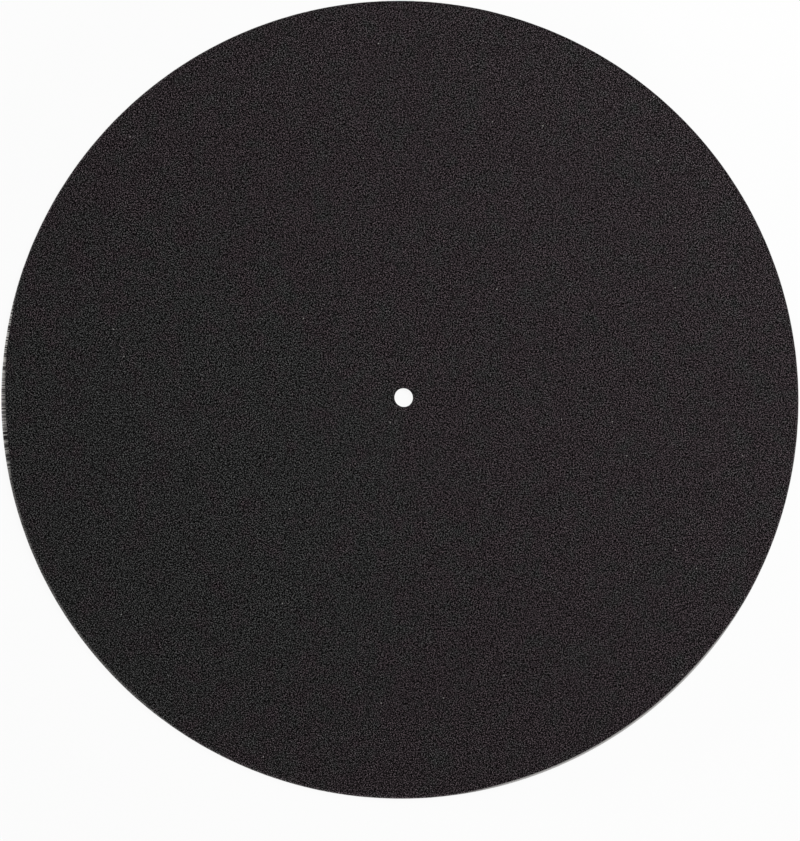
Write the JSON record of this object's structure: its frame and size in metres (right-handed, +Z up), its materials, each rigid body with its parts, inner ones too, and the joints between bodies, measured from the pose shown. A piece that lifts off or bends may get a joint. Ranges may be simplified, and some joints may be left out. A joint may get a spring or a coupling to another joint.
{
  "type": "turntable platter mat",
  "caption": "Round flat felt mat with a spindle hole, laid on a turntable platter to carry a record.",
  "frame": {"origin": "centre of the underside, on the spindle's axis, where the mat meets the platter", "axes": "+Z up along the spindle's axis, out of the face that carries the record; X and Y lie in the underside"},
  "size_m": [0.305, 0.305, 0.003],
  "materials": {
    "black_felt": "matt black dense felt with a fine grain"
  },
  "bodies": {
    "root": {"platter_mat": "black_felt"}
  },
  "joints": []
}
